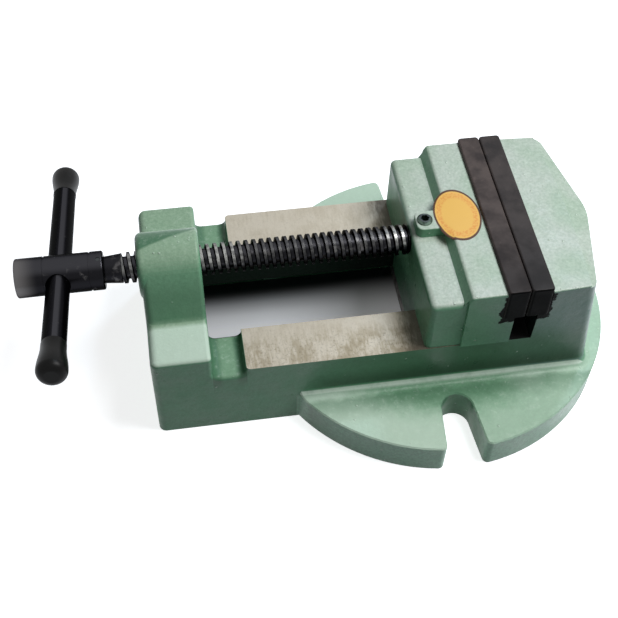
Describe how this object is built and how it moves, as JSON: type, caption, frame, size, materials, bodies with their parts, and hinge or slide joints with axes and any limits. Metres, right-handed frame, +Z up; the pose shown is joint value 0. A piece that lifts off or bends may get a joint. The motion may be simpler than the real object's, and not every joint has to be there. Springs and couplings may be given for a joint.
{
  "type": "drill press vise",
  "caption": "Low machine vise on a round flanged base with open bolt slots; a threaded spindle with sliding handle bar drives the stepped jaw along two ways.",
  "frame": {"origin": "on the underside, at the centre of the round flange", "axes": "+X along the screw towards the fixed jaw, +Y across the jaws, +Z up"},
  "size_m": [0.3145, 0.1916, 0.0977],
  "materials": {
    "casting_green": "semi-gloss",
    "jaw_green": "semi-gloss",
    "jaw_steel": "satin, oil-blackened",
    "screw_black": "satin",
    "keeper_steel": "satin",
    "keeper_screw": "satin",
    "spindle_black": "satin, black oxide",
    "handle_black": "semi-gloss, black oxide",
    "pin_steel": "satin",
    "cap_black": "semi-gloss"
  },
  "bodies": {
    "base": {"base_casting": "casting_green", "fixed_jaw_plate": "jaw_steel", "fixed_plate_screws": "screw_black"},
    "slide_jaw": {"moving_jaw": "jaw_green", "moving_jaw_plate": "jaw_steel", "moving_plate_screws": "screw_black", "keeper_plate": "keeper_steel", "keeper_screws": "keeper_screw", "keeper_washers": "keeper_screw", "set_screw": "screw_black"},
    "screw": {"spindle": "spindle_black", "hub": "handle_black", "hub_pin": "pin_steel"},
    "bar": {"tommy_bar": "handle_black", "end_cap_near": "cap_black", "end_cap_far": "cap_black"}
  },
  "joints": [
    {"name": "jaw_slide", "type": "slide", "parent": "base", "child": "slide_jaw", "axis": [-1, 0, 0], "range_m": [0, 0.1]},
    {"name": "spindle_spin", "type": "hinge", "parent": "slide_jaw", "child": "screw", "pos_m": [-0.1, 0, 0.074], "axis": [1, 0, 0], "range_deg": [-9000.5, 0]},
    {"name": "bar_slide", "type": "slide", "parent": "screw", "child": "bar", "axis": [0.0227, 0.9741, -0.2249], "range_m": [-0.0617, 0.0447]}
  ],
  "couplings": [
    {"joint": "spindle_spin", "follows": "jaw_slide", "rad_per_m": -1570.8}
  ]
}
